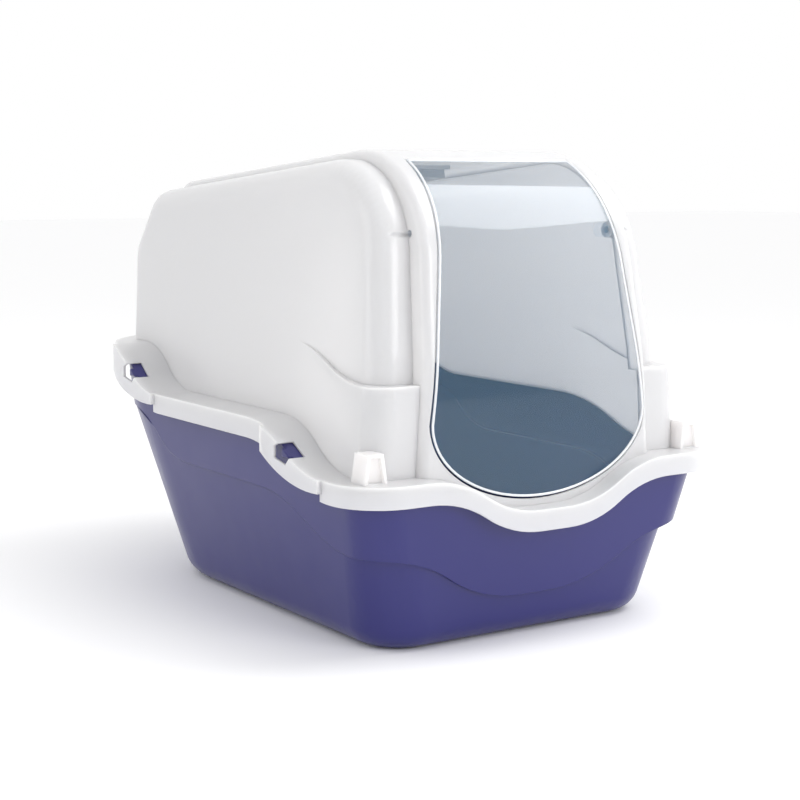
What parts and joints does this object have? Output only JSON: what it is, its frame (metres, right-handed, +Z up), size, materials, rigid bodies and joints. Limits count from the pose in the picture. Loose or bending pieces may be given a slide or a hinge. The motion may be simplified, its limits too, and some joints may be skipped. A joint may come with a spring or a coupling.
{
  "type": "cat litter box",
  "caption": "Covered cat litter box: a deep tapered tray, a tall lift-off hood with a falling roof, and a clear curved flap that swings in the doorway.",
  "frame": {"origin": "centre of the footprint, on the ground under the tray", "axes": "+X across the box, +Y from the door to the back, +Z up"},
  "size_m": [0.39, 0.55, 0.41],
  "materials": {
    "tray_plastic": "satin gloss",
    "hood_plastic": "gloss",
    "clear_plastic": "clear gloss",
    "filter_foam": "matte"
  },
  "bodies": {
    "tray": {"tray": "tray_plastic"},
    "hood": {"hood": "hood_plastic", "filter_pad": "filter_foam"},
    "door": {"swing_door": "clear_plastic"},
    "filter_lid": {"filter_lid": "hood_plastic"}
  },
  "joints": [
    {"name": "hood_lift", "type": "slide", "parent": "tray", "child": "hood", "axis": [0, 0, 1], "range_m": [0, 0.15]},
    {"name": "door_swing", "type": "hinge", "parent": "hood", "child": "door", "pos_m": [0, -0.218, 0.3415], "axis": [1, 0, 0], "range_deg": [-20, 70]},
    {"name": "filter_lid_lift", "type": "slide", "parent": "hood", "child": "filter_lid", "axis": [0, 0, 1], "range_m": [0, 0.03]}
  ]
}
